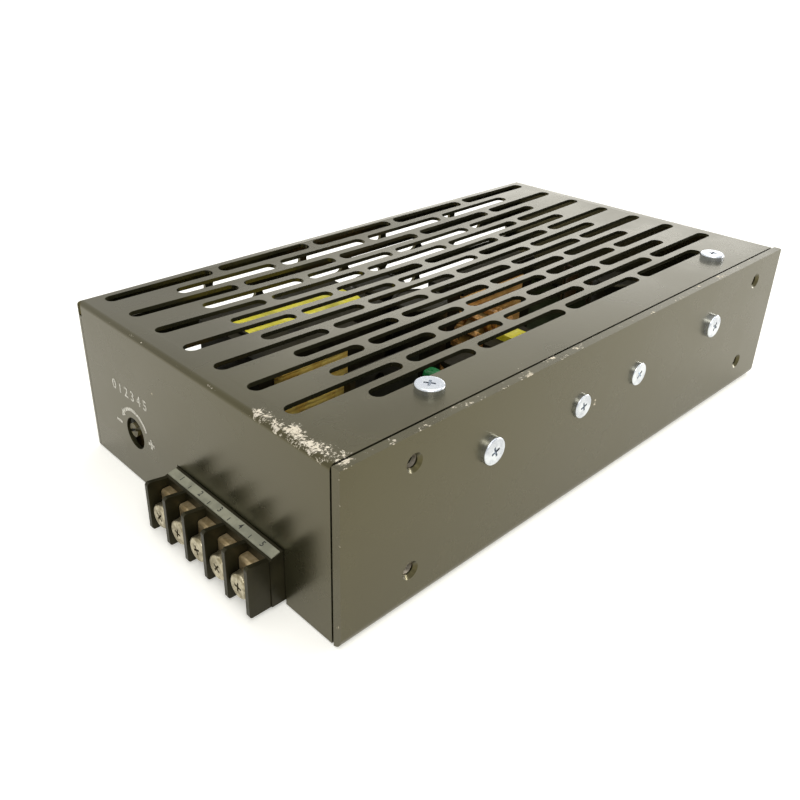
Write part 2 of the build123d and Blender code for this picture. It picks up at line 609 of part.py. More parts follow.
def make_output_choke():
    """Core halves, bobbin and coil of the lying choke."""
    x0, x1 = CHOKE_X
    y0, y1 = CHOKE_Y
    z0, z1 = CHOKE_Z
    cy, cz = (y0 + y1) / 2, (z0 + z1) / 2
    ring = block(x0, x1, y0, y1, z0, z1)
    ring -= block(x0 + CHOKE_END, x1 - CHOKE_END, y0 + CHOKE_LEG, y1 - CHOKE_LEG, 0, HEIGHT)
    post = block(x0 + 1, x1 - 1, cy - CHOKE_POST_Y / 2, cy + CHOKE_POST_Y / 2, cz - CHOKE_POST_Z / 2,
                 cz + CHOKE_POST_Z / 2)
    core = ring + post
    split = (x0 + x1) / 2
    halves = [core & block(x0 - 1, split, y0 - 1, y1 + 1, 0, HEIGHT),
              core & block(split, x1 + 1, y0 - 1, y1 + 1, 0, HEIGHT)]
    gap = WOUND_GAP
    wall = 0.8
    a0, a1 = x0 + CHOKE_END + gap, x1 - CHOKE_END - gap
    b0, b1 = y0 + CHOKE_LEG + gap, y1 - CHOKE_LEG - gap
    c0, c1 = 2 * cz - CHOKE_COIL_TOP, CHOKE_COIL_TOP
    tube = block(a0, a1, cy - CHOKE_POST_Y / 2 - gap - wall, cy + CHOKE_POST_Y / 2 + gap + wall,
                 cz - CHOKE_POST_Z / 2 - gap - wall, cz + CHOKE_POST_Z / 2 + gap + wall)
    bobbin = tube + block(a0, a0 + FLANGE, b0, b1, BOARD_TOP, c1) + block(a1 - FLANGE, a1, b0, b1, BOARD_TOP, c1)
    bobbin -= block(a0 - 1, a1 + 1, cy - CHOKE_POST_Y / 2 - gap, cy + CHOKE_POST_Y / 2 + gap,
                    cz - CHOKE_POST_Z / 2 - gap, cz + CHOKE_POST_Z / 2 + gap)
    coil = block(a0 + FLANGE, a1 - FLANGE, b0, b1, c0, c1)
    coil = fillet(coil.edges().filter_by(Axis.X), 3.0)
    coil -= tube
    return halves, bobbin, coil


# Upright ring choke: centre X, middle Y, outer and inner radius, thickness and wire
RING_X = 113.0
RING_Y = 56.6
RING_OUTER = 10.0
RING_INNER = 5.6
RING_THICK = 6.5
RING_TURNS = 13
WIRE = 1.9


def ring_centre_z():
    """Height of the ring's centre, so that its winding rests on the board."""
    return BOARD_TOP + RING_OUTER + WIRE + 0.1


def make_ring_core():
    """Iron powder ring."""
    cx = RING_X
    ring = rod_y(RING_OUTER, cx, ring_centre_z(), RING_Y - RING_THICK / 2, RING_Y + RING_THICK / 2)
    ring -= rod_y(RING_INNER, cx, ring_centre_z(), RING_Y - RING_THICK, RING_Y + RING_THICK)
    return fillet(ring.edges(), 0.8)


def make_ring_winding():
    """Thick enamelled turns round the ring, each a closed loop."""
    tall = RING_OUTER - RING_INNER + 0.3
    deep = RING_THICK + 0.3
    loop = extrude(RectangleRounded(tall + 2 * WIRE, deep + 2 * WIRE, WIRE) - Rectangle(tall, deep), WIRE / 2,
                   both=True)
    loop = fillet(loop.edges().filter_by(GeomType.LINE).filter_by(Axis.Z, reverse=True), 0.2)
    mean = (RING_OUTER + RING_INNER) / 2
    turns = []
    for k in range(RING_TURNS):
        angle = 90 + 360 * (k + 0.5) / RING_TURNS
        swing = Rotation(0, angle, 0) * Pos(mean, 0, 0)
        turns.append(at(RING_X, RING_Y, ring_centre_z()) * swing * loop)
    return turns


# Round capacitors: centre X, centre Y, radius and top height
CANS = {
    "bulk_capacitor_1": (89.9, 84.4, 9.0, 40.0),
    "bulk_capacitor_2": (89.9, 65.2, 9.0, 40.0),
    "output_capacitor_1": (168.0, 42.0, 8.0, 34.0),
    "output_capacitor_2": (168.0, 24.0, 8.0, 34.0),
}


def make_can(name):
    """Sleeved electrolytic capacitor with a crimp groove and a scored top."""
    x, y, radius, top = CANS[name]
    can = rod(radius, x, y, BOARD_TOP, top)
    can = fillet(can.edges().group_by(Axis.Z)[-1], 0.9)
    groove = rod(radius + 1, x, y, BOARD_TOP + 2.2, BOARD_TOP + 3.2) - rod(radius - 0.5, x, y, 0, HEIGHT)
    can -= groove
    can -= rod(radius - 1.3, x, y, top - 0.25, top + 1)
    return can


# Small transformer with a yellow tape band, and the parts beside it
DRIVER_X = (102.0, 122.4)
DRIVER_Y = (36.0, 48.0)
DRIVER_TOP = 28.5
DRIVER_COIL = 7.4
DRIVER_LEG = 2.4


def make_driver():
    """Core halves and taped coil of the small transformer."""
    x0, x1 = DRIVER_X
    y0, y1 = DRIVER_Y
    cx, cy = (x0 + x1) / 2, (y0 + y1) / 2
    z0, z1 = BOARD_TOP, DRIVER_TOP - 2.0
    core = block(x0, x1, y0, y1, z0, z1)
    core -= block(cx - DRIVER_COIL / 2 - 0.3, cx + DRIVER_COIL / 2 + 0.3, y0 - 1, y1 + 1, z0 - 1, z0 + 3)
    core -= block(cx - DRIVER_COIL / 2 - 0.3, cx + DRIVER_COIL / 2 + 0.3, y0 - 1, y1 + 1, z1 - 3, z1 + 1)
    core -= block(cx - DRIVER_COIL / 2 - 0.3, cx + DRIVER_COIL / 2 + 0.3, y0 - 1, y0 + 2, z0, z1)
    core -= block(cx - DRIVER_COIL / 2 - 0.3, cx + DRIVER_COIL / 2 + 0.3, y1 - 2, y1 + 1, z0, z1)
    halves = [core & block(x0 - 1, cx, 0, WIDTH, 0, HEIGHT), core & block(cx, x1 + 1, 0, WIDTH, 0, HEIGHT)]
    coil = block(cx - DRIVER_COIL / 2, cx + DRIVER_COIL / 2, y0 - 0.8, y1 + 0.8, z0, DRIVER_TOP)
    coil = fillet(coil.edges().filter_by(Axis.X), 1.4)
    coil -= block(x0, x1, y0 + 2 - WOUND_GAP, y1 - 2 + WOUND_GAP, z0 + 3 - WOUND_GAP, z1 - 3 + WOUND_GAP)
    return halves, coil


# Drum choke: centre, radius and height
DRUM_X, DRUM_Y, DRUM_RADIUS, DRUM_TOP = 88.5, 44.5, 7.0, 27.5


def make_drum():
    """Ferrite drum and the winding between its flanges."""
    core = rod(DRUM_RADIUS, DRUM_X, DRUM_Y, BOARD_TOP, DRUM_TOP)
    neck = rod(DRUM_RADIUS + 1, DRUM_X, DRUM_Y, BOARD_TOP + 2, DRUM_TOP - 2)
    neck -= rod(DRUM_RADIUS * 0.5, DRUM_X, DRUM_Y, 0, HEIGHT)
    core -= neck
    winding = rod(DRUM_RADIUS - 0.4, DRUM_X, DRUM_Y, BOARD_TOP + 2.1, DRUM_TOP - 2.1)
    pitch = 1.5
    count = int((DRUM_TOP - BOARD_TOP - 4.2) / pitch)
    for k in range(count):
        z = BOARD_TOP + 2.1 + (k + 0.5) * pitch
        ridge = at(DRUM_X, DRUM_Y, z) * Torus(DRUM_RADIUS - 0.6, pitch * 0.42)
        winding += ridge
    winding -= rod(DRUM_RADIUS * 0.5 + 0.1, DRUM_X, DRUM_Y, 0, HEIGHT)
    return core, winding


# Boxed and dipped capacitors: X range, Y range, top height, edge rounding
BOXES = {
    "line_capacitor": dict(x=(12.0, 38.0), y=(28.0, 40.0), top=27.0, edge=0.6),
    "orange_capacitor": dict(x=(93.5, 101.0), y=(33.5, 39.0), top=29.5, edge=2.2),
    "green_capacitor": dict(x=(72.0, 77.2), y=(38.0, 47.0), top=28.0, edge=2.0),
}


def make_box_part(name):
    """A boxed or dipped capacitor standing on the board."""
    d = BOXES[name]
    x0, x1 = d["x"]
    y0, y1 = d["y"]
    part = block(x0, x1, y0, y1, BOARD_TOP, d["top"])
    part = fillet(part.edges().filter_by(Axis.Z), d["edge"])
    return fillet(part.edges().group_by(Axis.Z)[-1], d["edge"] * 0.8)


# Upright heat sink plate with the bridge rectifier behind it
SINK_X = (43.5, 68.0)
SINK_Y = 44.0
SINK_SHEET = 2.0
SINK_TOP = 37.5
SINK_HOLE_X, SINK_HOLE_Z, SINK_HOLE = 52.4, 32.8, 2.0
SINK_FOOT = 6.0
BRIDGE_INSET, BRIDGE_LOW, BRIDGE_HIGH, BRIDGE_THICK, BRIDGE_CORNER = 2.0, 9.0, 25.0, 5.0, 2.5
BRIDGE_LEGS, BRIDGE_LEG, BRIDGE_FIRST_LEG, BRIDGE_PITCH = 4, 1.0, 5.0, 4.8


def make_heatsink():
    """Bent plate: an upright face and a short foot on the board."""
    x0, x1 = SINK_X
    plate = block(x0, x1, SINK_Y, SINK_Y + SINK_SHEET, BOARD_TOP, SINK_TOP)
    plate += block(x0, x1, SINK_Y - SINK_FOOT, SINK_Y + SINK_SHEET, BOARD_TOP, BOARD_TOP + SINK_SHEET)
    plate -= rod_y(SINK_HOLE, SINK_HOLE_X, SINK_HOLE_Z, SINK_Y - 1, SINK_Y + SINK_SHEET + 1)
    corners = plate.edges().filter_by(Axis.Y).group_by(Axis.Z)[-1]
    return chamfer(corners, 1.5)


def make_bridge():
    """Flat moulded bridge rectifier with four legs, flat against the heat sink."""
    x0, x1 = SINK_X
    y0 = SINK_Y + SINK_SHEET
    low = BOARD_TOP + BRIDGE_LOW
    body = block(x0 + BRIDGE_INSET, x1 - BRIDGE_INSET, y0, y0 + BRIDGE_THICK, low, BOARD_TOP + BRIDGE_HIGH)
    corner = body.edges().filter_by(Axis.Y).group_by(Axis.Z)[-1].sort_by(Axis.X)[-1]
    body = chamfer(corner, BRIDGE_CORNER)
    middle = y0 + BRIDGE_THICK / 2
    half = BRIDGE_LEG / 2
    for k in range(BRIDGE_LEGS):
        leg = x0 + BRIDGE_FIRST_LEG + BRIDGE_PITCH * k
        body += block(leg - half, leg + half, middle - half, middle + half, BOARD_TOP, low)
    return body


# Fuse along X in two clips
FUSE_X, FUSE_Y, FUSE_RADIUS, FUSE_LENGTH = (13.0, 33.0), 20.5, 2.6, 20.0
FUSE_Z = 14.6


def make_fuse():
    """Glass fuse with a metal cap at each end."""
    x0, x1 = FUSE_X
    tube = rod_x(FUSE_RADIUS - 0.25, FUSE_Y, FUSE_Z, x0, x1)
    for a, b in ((x0, x0 + 5), (x1 - 5, x1)):
        tube += rod_x(FUSE_RADIUS, FUSE_Y, FUSE_Z, a, b)
    return tube


def make_fuse_clips():
    """Spring clips that hold the fuse by its caps."""
    clips = []
    reach = FUSE_RADIUS + 0.5
    for x in (FUSE_X[0] + 2.5, FUSE_X[1] - 2.5):
        clip = block(x - 2, x + 2, FUSE_Y - reach, FUSE_Y + reach, BOARD_TOP, FUSE_Z + FUSE_RADIUS)
        clip -= block(x - 3, x + 3, FUSE_Y - FUSE_RADIUS + 0.4, FUSE_Y + FUSE_RADIUS - 0.4, BOARD_TOP + 0.5, HEIGHT)
        clip -= rod_x(FUSE_RADIUS + 0.02, FUSE_Y, FUSE_Z, x - 3, x + 3)
        clips.append(clip)
    return clips


# Upright resistors: two at the far side behind the capacitors, two at the far end, one between
RESISTOR_FAR_SIDE, RESISTOR_FAR_END = WIDTH - 23.0, LENGTH - 14.0
RESISTORS = ((101.0, RESISTOR_FAR_SIDE), (108.0, RESISTOR_FAR_SIDE), (RESISTOR_FAR_END, 60.0),
             (RESISTOR_FAR_END, 72.0), (150.0, WIDTH - 15.0))
RESISTOR_RADIUS, RESISTOR_TALL, RESISTOR_LEAD = 2.4, 13.0, 0.4


def make_resistors():
    """Standing resistors, each with its top lead bent back down to the board."""
    parts = []
    for x, y in RESISTORS:
        low = BOARD_TOP + 0.8
        high = low + RESISTOR_TALL
        body = fillet(rod(RESISTOR_RADIUS, x, y, low, high).edges(), 0.7)
        body += rod(RESISTOR_LEAD, x, y, BOARD_TOP, low + 1)
        back = RESISTOR_RADIUS + 1.4
        path = FilletPolyline((0, 0, high - 1), (0, 0, high + 2), (0, back, high + 2), (0, back, BOARD_TOP),
                              radius=1.0)
        profile = Plane(origin=path @ 0, z_dir=path % 0) * Circle(RESISTOR_LEAD)
        body += at(x, y) * sweep(profile, path)
        parts.append(body)
    return parts


# Control chip: centre and size, legs in two rows
CHIP_X, CHIP_Y = 160.0, 84.0
CHIP_LENGTH, CHIP_WIDE, CHIP_HIGH, CHIP_LEGS = 19.6, 6.4, 3.4, 8
LEG_PITCH = 2.54


def make_chip():
    """Dual in-line chip on its legs."""
    low = BOARD_TOP + 0.8
    chip = block(CHIP_X - CHIP_LENGTH / 2, CHIP_X + CHIP_LENGTH / 2, CHIP_Y - CHIP_WIDE / 2,
                 CHIP_Y + CHIP_WIDE / 2, low, low + CHIP_HIGH)
    chip -= rod(0.9, CHIP_X - CHIP_LENGTH / 2, CHIP_Y, low + CHIP_HIGH - 0.5, HEIGHT)
    for k in range(CHIP_LEGS):
        x = CHIP_X + (k - (CHIP_LEGS - 1) / 2) * LEG_PITCH
        for side in (-1, 1):
            y = CHIP_Y + side * (CHIP_WIDE / 2 + 0.4)
            chip += block(x - 0.3, x + 0.3, y - 0.15, y + 0.15, BOARD_TOP, low + CHIP_HIGH / 2)
            chip += block(x - 0.6, x + 0.6, min(y, CHIP_Y), max(y, CHIP_Y), low + CHIP_HIGH / 2 - 0.2,
                          low + CHIP_HIGH / 2)
    return chip


# Bare leads of the main transformer, standing beside the bulk capacitors
LEADS_X, LEADS_Y, LEADS_TOP, LEAD = 100.4, (64.5, 67.0, 69.5, 72.0), 38.0, 0.5


def make_leads():
    """Tinned wires standing on the board, each with a short bend at the top."""
    wires = []
    for k, y in enumerate(LEADS_Y):
        top = LEADS_TOP - 2 * (k % 2)
        path = FilletPolyline((0, 0, BOARD_TOP), (0, 0, top), (1.6, 0, top), radius=1.0)
        profile = Plane(origin=path @ 0, z_dir=path % 0) * Circle(LEAD)
        wires.append(at(LEADS_X, y) * sweep(profile, path))
    return wires


def save(name, shape):
    """Write one node; a list becomes a group of separate solids."""
    if isinstance(shape, list):
        shape = Compound(children=[s.solid() if hasattr(s, "solid") else s for s in shape])
    export_step(shape, "parts/" + name + ".step")


def main():
    os.makedirs("parts", exist_ok=True)
    save("chassis", make_chassis())
    save("cover", make_cover())
    save("cover_brackets", [make_bracket(a, b) for a, b in zip(BRACKET_SCREW_X, COVER_SCREW_X)])
    save("cover_screws", make_cover_screws())
    save("bracket_screws", make_bracket_screws())
    save("device_screws", make_device_screws())
    save("device_nuts", make_device_nuts())
    save("far_wall_screws", make_far_screws())
    save("insulating_sheet", make_sheet())
    save("board_standoffs", make_standoffs())
    save("circuit_board", make_board())
    save("board_screws", make_board_screws())
    save("terminal_block", make_terminal_block())
    save("terminal_plates", make_terminal_plates())
    save("terminal_label_strip", make_label_strip())
    for bay, turn in zip(range(1, BAYS + 1), TERMINAL_TURNS):
        save("terminal_washer_" + str(bay), make_terminal_washer(bay))
        save("terminal_screw_" + str(bay), make_terminal_screw(bay, turn))
    save("trimmer_body", make_trimmer_body())
    save("trimmer_rotor", make_trimmer_rotor())
    for name in WOUND:
        core, bobbin, coil = make_wound(name)
        save(name + "_core", core)
        save(name + "_bobbin", bobbin)
        save(name + "_coil", coil)
    core, bobbin, coil = make_output_choke()
    save("output_choke_core", core)
    save("output_choke_bobbin", bobbin)
    save("output_choke_coil", coil)
    save("ring_choke_core", make_ring_core())
    save("ring_choke_winding", make_ring_winding())
    core, coil = make_driver()
    save("driver_transformer_core", core)
    save("driver_transformer_coil", coil)
    core, winding = make_drum()
    save("drum_choke_core", core)
    save("drum_choke_winding", winding)
    for name in CANS:
        save(name, make_can(name))
    for name in BOXES:
        save(name, make_box_part(name))
    save("rectifier_heatsink", make_heatsink())
    save("bridge_rectifier", make_bridge())
    save("switching_transistor", make_device(DEVICE_X[0]))
    save("output_rectifier", make_device(DEVICE_X[1]))
    save("device_insulators", make_insulators())
    save("fuse", make_fuse())
    save("fuse_clips", make_fuse_clips())
    save("resistors", make_resistors())
    save("control_chip", make_chip())
    save("transformer_leads", make_leads())


if __name__ == "__main__":
    main()
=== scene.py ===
# %% [markdown]
# # An enclosed power supply, dressed over its CAD frame
# The metal case, its screws and every part on the circuit board come from the CAD model as a
# fixed frame. This lesson gives each of them a finish that reads like the real material, adds
# the small things that CAD leaves out, and sets up a camera and soft studio lamps to photograph it.

# %% Load the frame
import bpy
import math
from mathutils import Matrix, Vector


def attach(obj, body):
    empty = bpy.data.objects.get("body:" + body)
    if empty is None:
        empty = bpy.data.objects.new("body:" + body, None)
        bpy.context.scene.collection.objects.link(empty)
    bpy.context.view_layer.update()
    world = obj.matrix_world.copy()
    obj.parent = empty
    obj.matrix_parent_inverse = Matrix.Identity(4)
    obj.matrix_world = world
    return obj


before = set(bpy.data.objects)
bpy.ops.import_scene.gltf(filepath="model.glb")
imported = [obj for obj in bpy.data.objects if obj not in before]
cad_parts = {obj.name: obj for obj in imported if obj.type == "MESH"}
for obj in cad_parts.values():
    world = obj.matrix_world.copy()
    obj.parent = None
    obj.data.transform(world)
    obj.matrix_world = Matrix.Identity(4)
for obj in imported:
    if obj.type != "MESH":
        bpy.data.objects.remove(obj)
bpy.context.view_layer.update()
MM = 0.001

# %% [markdown]
# Colours are written as they look on a screen, in sRGB hex. Blender mixes light in linear
# values, so one function turns the first into the second and is used for every colour here.


# %% Colours
def linear(hex_colour):
    """sRGB hex to linear RGBA."""
    channels = [int(hex_colour[i:i + 2], 16) / 255 for i in (1, 3, 5)]
    return [c / 12.92 if c <= 0.04045 else ((c + 0.055) / 1.055) ** 2.4 for c in channels] + [1.0]


print("mid grey in linear light:", round(linear("#808080")[0], 3))

# %% [markdown]
# A material is a small graph of nodes. One helper adds any node, sets its plain settings,
# fills its inputs with numbers or links, and hands the node back for the next step.


# %% A node helper
def add(tree, kind, inputs=(), **settings):
    """A new node; inputs is a list of (socket name or number, value or source socket)."""
    node = tree.nodes.new(kind)
    for key, value in settings.items():
        setattr(node, key, value)
    for name, value in inputs:
        socket = node.inputs[name]
        if isinstance(value, bpy.types.NodeSocket):
            tree.links.new(value, socket)
        else:
            socket.default_value = value
    return node


def math_node(tree, operation, *values):
    """The result of one sum on numbers or sockets."""
    return add(tree, "ShaderNodeMath", list(enumerate(values)), operation=operation).outputs[0]


print("helpers ready")

# %% [markdown]
# Most finishes share one plan: a base colour that drifts a little from place to place, a
# roughness that drifts with it, and a fine bump. The scales come from real sizes in
# millimetres: one noise cell of s mm needs a noise scale of 1000 / s on metre coordinates.


# %% The shared plan of a finish
def start_finish(name):
    """An empty material with its shader, and the object's own coordinates."""
    material = bpy.data.materials.new(name)
    material.use_nodes = True
    tree = material.node_tree
    shader = tree.nodes["Principled BSDF"]
    place = add(tree, "ShaderNodeTexCoord").outputs["Object"]
    return material, tree, shader, place


def noise(tree, place, size_mm, detail=3.0, rough=0.55):
    """Cloudy noise whose cells are about size_mm across."""
    return add(tree, "ShaderNodeTexNoise", [("Vector", place), ("Scale", 1000 / size_mm),
                                            ("Detail", detail), ("Roughness", rough)]).outputs["Fac"]


def ramp(tree, value, low, high):
    """0 below low, 1 above high, smooth between."""
    node = add(tree, "ShaderNodeMapRange", [("Value", value), ("From Min", low), ("From Max", high)],
               interpolation_type="SMOOTHSTEP")
    return node.outputs[0]


def blend_colour(tree, amount, first, second):
    """Two colours mixed by a factor."""
    node = add(tree, "ShaderNodeMix", data_type="RGBA")
    for index, value in ((0, amount), (6, first), (7, second)):
        socket = node.inputs[index]
        if isinstance(value, bpy.types.NodeSocket):
            tree.links.new(value, socket)
        else:
            socket.default_value = value
    return node.outputs[2]


def set_bump(tree, shader, height, depth_mm, strength=0.6):
    """Bump from a height that runs from 0 to 1 over depth_mm."""
    node = add(tree, "ShaderNodeBump", [("Height", height), ("Distance", depth_mm * MM),
                                        ("Strength", strength)])
    tree.links.new(node.outputs[0], shader.inputs["Normal"])


def plain_finish(name, colour, second, rough, patch_mm=9.0, grain_mm=0.5, depth_mm=0.03,
                 metallic=0.0, coat=0.0, spread=0.12, gloss_tint="#ffffff"):
    """A finish with drifting colour and roughness and a fine grain."""
    material, tree, shader, place = start_finish(name)
    patches = ramp(tree, noise(tree, place, patch_mm), 0.35, 0.65)
    mixed = blend_colour(tree, patches, linear(colour), linear(second))
    tree.links.new(mixed, shader.inputs["Base Color"])
    rough_drift = math_node(tree, "MULTIPLY_ADD", patches, spread, rough - spread / 2)
    tree.links.new(rough_drift, shader.inputs["Roughness"])
    shader.inputs["Metallic"].default_value = metallic
    shader.inputs["Coat Weight"].default_value = coat
    shader.inputs["Specular Tint"].default_value = linear(gloss_tint)
    set_bump(tree, shader, noise(tree, place, grain_mm), depth_mm)
    return material


print("plan of a finish ready")

# %% [markdown]
# The case is steel and aluminium sheet under a black semi-gloss enamel. The paint itself is
# nearly black: what the eye sees as warm grey is the pale room mirrored in its gloss, weaker
# where one looks straight at it and stronger at a shallow angle, so the refractive index and
# the warm specular tint do the work. Handling has rubbed the paint off one corner in a
# speckled patch and chipped it along the folds. Each worn place is a soft box in the object's
# coordinates filled with noise at chip size, so the wear stays put from every side.

# %% Enamel over sheet metal, with worn folds
def soft_box(tree, axes, low, high, soft_mm):
    """1 inside a box given by its corners in mm, fading over soft_mm; None leaves a side open."""
    result = 1.0
    for axis, lo, hi in zip(axes, low, high):
        if lo is not None:
            edge = ramp(tree, axis, (lo - soft_mm) * MM, (lo + soft_mm) * MM)
            result = math_node(tree, "MULTIPLY", result, edge)
        if hi is not None:
            edge = ramp(tree, axis, (hi + soft_mm) * MM, (hi - soft_mm) * MM)
            result = math_node(tree, "MULTIPLY", result, edge)
    return result


# nearly all of the speckle noise stays below this level, so paint outside the worn places stays whole
SOUND_PAINT = 1.11


def enamel(name, worn_places):
    """Black enamel; worn_places lists (low, high, soft mm, chip mm, share bare)."""
    material, tree, shader, place = start_finish(name)
    split = add(tree, "ShaderNodeSeparateXYZ", [("Vector", place)])
    axes = [split.outputs[k] for k in range(3)]
    cloud = ramp(tree, noise(tree, place, 28.0, 4.0), 0.3, 0.7)
    paint = blend_colour(tree, cloud, linear("#1a1a10"), linear("#232317"))
    smudge = ramp(tree, noise(tree, place, 7.0, 6.0, 0.7), 0.60, 0.80)
    paint = blend_colour(tree, math_node(tree, "MULTIPLY", smudge, 0.30), paint, linear("#3d3a28"))
    bare = 0.0
    patchy = noise(tree, place, 5.0, 2.0)
    for low, high, soft, chip, share in worn_places:
        box = soft_box(tree, axes, low, high, soft)
        speckle = math_node(tree, "MULTIPLY_ADD", patchy, 0.5, noise(tree, place, chip, 6.0, 0.78))
        level = math_node(tree, "SUBTRACT", SOUND_PAINT, math_node(tree, "MULTIPLY", box, share))
        over = math_node(tree, "SUBTRACT", speckle, level)
        bare = math_node(tree, "MAXIMUM", bare, ramp(tree, over, 0.0, 0.02))
    metal = blend_colour(tree, noise(tree, place, 0.8), linear("#93866f"), linear("#f1eadc"))
    tree.links.new(blend_colour(tree, bare, paint, metal), shader.inputs["Base Color"])
    peel = noise(tree, place, 1.1, 2.0)
    grit = noise(tree, place, 0.35, 2.0)
    drift = math_node(tree, "MULTIPLY_ADD", cloud, 0.08, 0.24)
    tree.links.new(math_node(tree, "MULTIPLY_ADD", bare, 0.15, drift), shader.inputs["Roughness"])
    tree.links.new(math_node(tree, "MULTIPLY", bare, 0.55), shader.inputs["Metallic"])
    shader.inputs["IOR"].default_value = 1.76
    shader.inputs["Specular Tint"].default_value = linear("#f8e8a8")
    height = math_node(tree, "MULTIPLY_ADD", peel, 0.5, math_node(tree, "MULTIPLY", grit, 0.3))
    set_bump(tree, shader, math_node(tree, "SUBTRACT", height, bare), 0.04, 0.4)
    return material


COVER_WEAR = [
    ((-102.0, -57.0, 47.0), (-94.8, -25.0, None), 3.0, 0.8, 0.41),
    ((-102.0, -57.0, 47.6), (-92.5, -47.0, None), 2.6, 0.8, 0.42),
    ((-101.0, None, 47.8), (-99.2, None, None), 0.5, 1.6, 0.23),
    ((None, -55.0, 47.4), (None, -54.2, None), 0.3, 1.8, 0.22),
    ((-101.0, 17.0, 33.5), (-98.5, 19.5, 36.0), 1.0, 1.5, 0.36),
    ((-70.0, -54.8, 47.4), (-22.0, -50.0, None), 2.0, 1.6, 0.20),
]
PLATE_WEAR = [
    ((-100.5, None, 47.9), (-94.0, None, None), 0.6, 1.2, 0.31),
    ((None, None, 48.4), (None, None, None), 0.2, 1.7, 0.23),
    ((-8.2, None, 27.6), (-6.6, None, 30.2), 0.8, 1.3, 0.40),
    ((-101.0, None, None), (-99.8, None, None), 0.15, 1.7, 0.18),
]
# bare metal in the threads of the four mounting holes
PLATE_FACE, MOUTH_DEEP, THREAD_REACH = -57.5, 1.3, 2.1
for hole_x, hole_z in ((-78.5, 10.9), (-78.5, 41.0), (83.9, 10.9), (83.9, 41.0)):
    PLATE_WEAR.append(((hole_x - THREAD_REACH, PLATE_FACE + MOUTH_DEEP, hole_z - THREAD_REACH),
                       (hole_x + THREAD_REACH, None, hole_z + THREAD_REACH), 0.1, 0.6, 0.95))
enamel_cover = enamel("semi_gloss_enamel_on_thin_sheet", COVER_WEAR)
enamel_plate = enamel("semi_gloss_enamel_on_plate", PLATE_WEAR)
print("enamel made, worn places:", len(COVER_WEAR) + len(PLATE_WEAR))

# %% [markdown]
# The other finishes follow the shared plan. Zinc plate is a bright metal with a faint bluish
# cast, nickel on the clamp plates has gone tan, and tape on the coils is a thin glossy film
# that shows the copper turns under it as soft ridges.


# %% The other finishes
WARM = "#f6e9b4"
zinc = plain_finish("bright_zinc_plate", "#d6dadd", "#b9bdc3", 0.24, 3.0, 0.4, 0.02, 1.0)
old_zinc = plain_finish("dull_zinc_plate", "#b9b095", "#857c62", 0.34, 1.6, 0.4, 0.04, 0.9)
tan_nickel = plain_finish("nickel_plate_gone_tan", "#c2ae86", "#9c8862", 0.36, 2.0, 0.5, 0.03, 0.7)
steel_sheet = plain_finish("plain_steel_sheet", "#6f6e66", "#5a594f", 0.42, 8.0, 0.5, 0.02, 0.9)
brass = plain_finish("turned_brass", "#a68a4c", "#8f733a", 0.35, 3.0, 0.4, 0.02, 1.0)
tin = plain_finish("tinned_copper_wire", "#e6e4da", "#b9b5a6", 0.26, 1.2, 0.4, 0.03, 1.0)
phenolic = plain_finish("moulded_phenolic", "#17160d", "#211f13", 0.40, 6.0, 0.3, 0.03, gloss_tint=WARM)
board_mask = plain_finish("solder_mask_on_glass_fibre", "#141a0e", "#1f2714", 0.38, 5.0, 0.9, 0.05,
                          gloss_tint=WARM)
black_film = plain_finish("insulating_film", "#151410", "#1d1b15", 0.5, 12.0, 0.6, 0.02, gloss_tint=WARM)
grey_strip = plain_finish("printed_fibre_strip", "#858573", "#9c9b86", 0.55, 4.0, 0.4, 0.02)
olive_moulding = plain_finish("moulded_olive_resin", "#3a2f16", "#4a3c1d", 0.45, 2.5, 0.4, 0.03)
pale_moulding = plain_finish("moulded_pale_resin", "#5b532f", "#474022", 0.5, 1.5, 0.4, 0.02)
ferrite = plain_finish("fired_ferrite", "#17150f", "#232017", 0.6, 4.0, 0.35, 0.05, gloss_tint=WARM)
bobbin_black = plain_finish("moulded_bobbin_nylon", "#14130e", "#1e1c15", 0.5, 4.0, 0.4, 0.03,
                            gloss_tint=WARM)
can_sleeve = plain_finish("shrunk_pvc_sleeve", "#171610", "#201e16", 0.45, 6.0, 1.5, 0.06, 0.0, 0.0,
                          gloss_tint=WARM)
green_dip = plain_finish("dipped_green_resin", "#1b7a3c", "#2a9450", 0.3, 2.0, 0.8, 0.08, 0.0, 0.3)
orange_dip = plain_finish("dipped_orange_resin", "#c98a44", "#dba356", 0.35, 2.0, 0.8, 0.08, 0.0, 0.2)
yellow_box = plain_finish("moulded_yellow_case", "#e0ad3e", "#b98a2c", 0.4, 5.0, 0.5, 0.03)
dark_anodise = plain_finish("dark_anodised_sheet", "#2d2b22", "#39372c", 0.5, 6.0, 0.5, 0.02, 0.3)
package_resin = plain_finish("moulded_package_resin", "#1b1912", "#24211a", 0.55, 3.0, 0.3, 0.03,
                             gloss_tint=WARM)
silicone_pad = plain_finish("silicone_pad", "#6e6f6a", "#5f605b", 0.7, 5.0, 0.4, 0.03)
resistor_coat = plain_finish("baked_resistor_coat", "#4d3a20", "#3a2b17", 0.4, 2.0, 0.5, 0.04)
iron_ring = plain_finish("painted_iron_powder", "#8a6f35", "#6b5526", 0.45, 2.5, 0.5, 0.05)


for dull in (phenolic, board_mask, black_film, ferrite, bobbin_black, can_sleeve, package_resin):
    dull.node_tree.nodes["Principled BSDF"].inputs["Specular IOR Level"].default_value = 0.3


